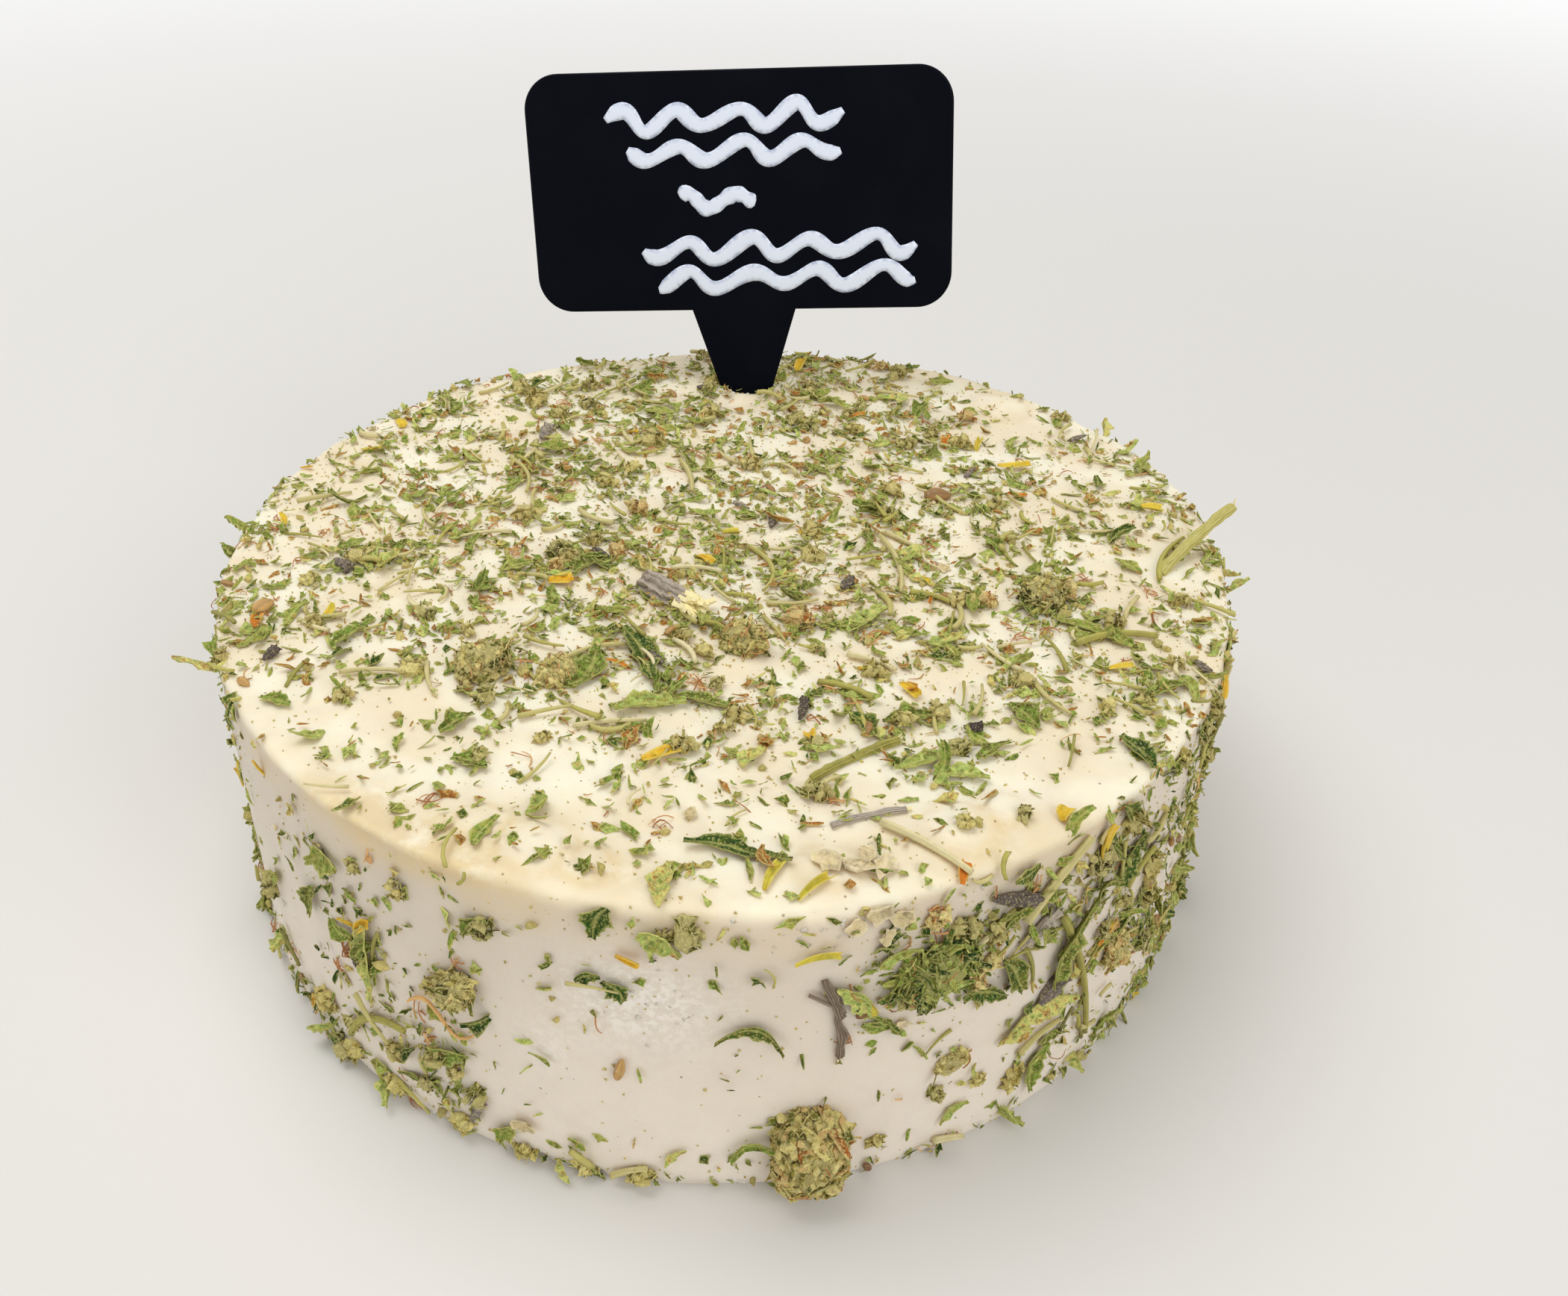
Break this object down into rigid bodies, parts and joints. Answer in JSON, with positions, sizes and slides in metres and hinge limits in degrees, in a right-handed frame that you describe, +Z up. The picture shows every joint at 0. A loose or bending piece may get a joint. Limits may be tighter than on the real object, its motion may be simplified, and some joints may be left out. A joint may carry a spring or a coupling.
{
  "type": "herb-coated plant-based cheese",
  "caption": "Small round plant-based cheese with a coat of dried herbs and petals, and a dark pick label standing in its top.",
  "frame": {"origin": "middle of the flat underside, on the surface it stands on", "axes": "+Z up out of the base, -Y towards the side the tag faces, +X to the right seen from there"},
  "size_m": [0.1023, 0.1039, 0.0697],
  "materials": {
    "paste": "soft, moist ivory paste with a dull waxy gloss",
    "bud": "dried flower head, rough olive to golden brown",
    "bark": "dry grey-brown bark",
    "straw": "dry pale straw",
    "leaf": "dried crumpled leaf, matt green",
    "petal": "dried yellow petal, slightly silky",
    "flower": "dried grey-violet flower cup, finely ribbed",
    "seed": "smooth brown seed",
    "tag_plastic": "satin moulded plastic, nearly black",
    "marker": "dried chalk marker ink, pale blue-white"
  },
  "bodies": {
    "root": {"cheese": "paste", "foot_bud": "bud", "grey_stem": "bark", "pale_stalk": "straw", "straw_stem": "straw", "tag": "tag_plastic", "top_bud_1": "bud", "top_bud_2": "bud", "top_bud_3": "bud", "top_bud_4": "bud", "wall_bud_1": "bud", "wall_bud_2": "bud", "wall_bud_3": "bud", "wall_bud_4": "bud", "wall_twig": "straw", "woody_stem": "bark"}
  },
  "joints": []
}
